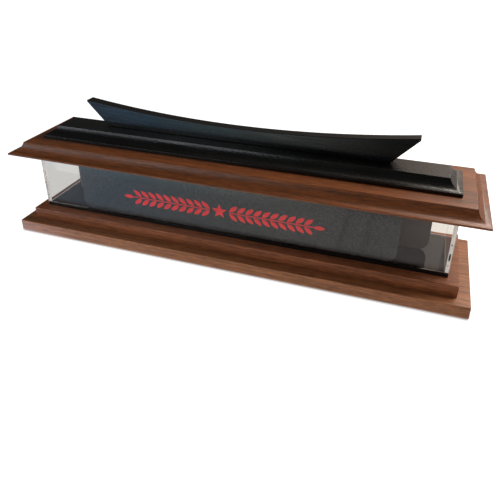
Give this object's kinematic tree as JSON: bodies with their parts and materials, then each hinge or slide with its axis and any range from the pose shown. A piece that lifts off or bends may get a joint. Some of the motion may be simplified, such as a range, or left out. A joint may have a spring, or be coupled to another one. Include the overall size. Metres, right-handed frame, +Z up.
{
  "type": "table-top display plaque",
  "caption": "Long table-top award plaque: stepped walnut base, clear display case with a dark name plate, and a lift-off moulded lid that carries a curved black crest.",
  "frame": {"origin": "centre of the footprint, on the surface that the felt feet rest on", "axes": "+X along the length towards the right end, -Y towards the front with the name plate, +Z up"},
  "size_m": [0.769, 0.193, 0.225],
  "materials": {
    "walnut": "oiled satin",
    "black_lacquer": "black satin lacquer",
    "black_acrylic": "polished",
    "clear_acrylic": "clear polished",
    "charcoal_sheet": "satin",
    "red_inlay": "satin",
    "felt": "felt",
    "steel": "zinc plated"
  },
  "bodies": {
    "case": {"foot_pads": "felt", "base_lower_board": "walnut", "base_upper_board": "walnut", "base_screws": "steel", "floor_plate": "black_acrylic", "case_front_wall": "clear_acrylic", "case_back_wall": "clear_acrylic", "case_left_end": "clear_acrylic", "case_right_end": "clear_acrylic", "name_plate": "charcoal_sheet", "inlay_star": "red_inlay", "inlay_stems": "red_inlay", "inlay_leaves": "red_inlay", "centre_panel": "charcoal_sheet", "panel_rail_front": "clear_acrylic", "panel_rail_back": "clear_acrylic"},
    "crown": {"lid_board": "walnut", "lid_cleat_front": "walnut", "lid_cleat_back": "walnut", "cleat_screws": "steel", "plinth_board": "black_lacquer", "plinth_screws": "steel", "crest_board": "black_lacquer", "crest_screws": "steel"}
  },
  "joints": [
    {"name": "lid_lift", "type": "slide", "parent": "case", "child": "crown", "axis": [0, 0, 1], "range_m": [0, 0.1]}
  ]
}
